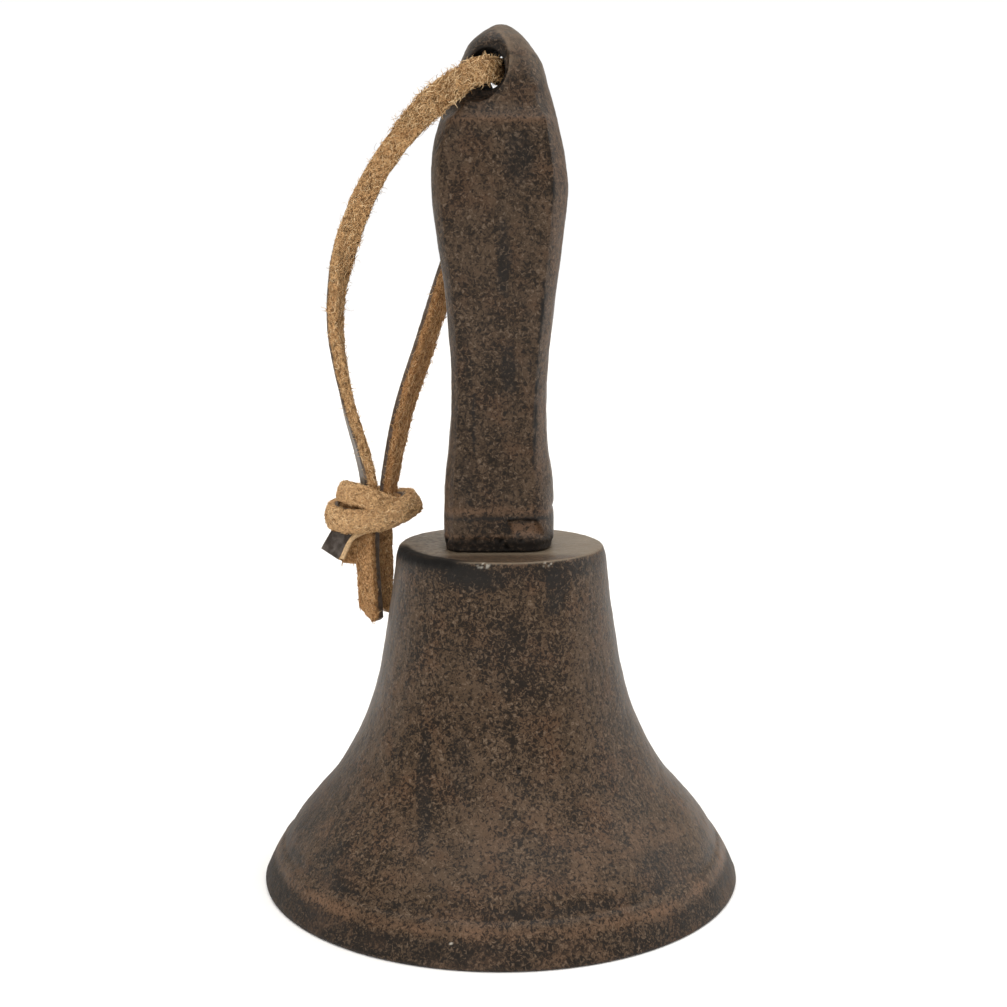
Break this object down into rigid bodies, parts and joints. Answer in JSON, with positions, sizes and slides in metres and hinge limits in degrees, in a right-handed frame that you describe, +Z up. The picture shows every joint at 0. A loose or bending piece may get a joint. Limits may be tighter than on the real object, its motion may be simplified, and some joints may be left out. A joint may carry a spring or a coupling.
{
  "type": "dinner bell",
  "caption": "Small open cast-iron hand bell with a bolted-on cast handle, a swinging clapper inside and a knotted suede lace looped through the handle's head.",
  "frame": {"origin": "centre of the bell mouth, in the plane of the rim that the bell stands on", "axes": "+Z up along the bell's axis, through the handle to its head; the lace's hole runs along Y; the lace's loop hangs on the -X side"},
  "size_m": [0.089, 0.089, 0.1548],
  "materials": {
    "bell_iron": "rough sand-cast iron, dark brown patina with rust-brown wear and near-black streaks",
    "handle_iron": "rough sand-cast iron, dark brown patina with near-black patches",
    "fastener_steel": "dull plated steel, lightly browned",
    "clapper_wire": "dark drawn steel wire, lightly rusted",
    "clapper_iron": "rough cast iron, worn a little brighter where it strikes",
    "suede_lace": "tan suede split, fuzzy flesh side and cut edges, smooth grey-brown grain side"
  },
  "bodies": {
    "bell_and_handle": {"bell_shell": "bell_iron", "handle": "handle_iron", "eye_bolt": "fastener_steel", "crown_washer": "fastener_steel", "spring_washer": "fastener_steel", "hex_nut": "fastener_steel"},
    "link": {"clapper_link": "clapper_wire"},
    "clapper": {"clapper_rod": "clapper_wire", "clapper_ball": "clapper_iron"},
    "lace": {"lace_front_run": "suede_lace", "lace_rear_run": "suede_lace", "lace_knot": "suede_lace", "lace_front_tail": "suede_lace", "lace_rear_tail": "suede_lace"}
  },
  "joints": [
    {"name": "link_swing", "type": "hinge", "parent": "bell_and_handle", "child": "link", "pos_m": [0, 0, 0.04535], "axis": [1, 0, 0], "range_deg": [-8, 8]},
    {"name": "clapper_swing", "type": "hinge", "parent": "link", "child": "clapper", "pos_m": [0, 0, 0.03995], "axis": [0, 1, 0], "range_deg": [-38, 38]},
    {"name": "lace_swing", "type": "hinge", "parent": "bell_and_handle", "child": "lace", "pos_m": [-0.0007, 0, 0.1473], "axis": [0, 1, 0], "range_deg": [0, 180]}
  ]
}
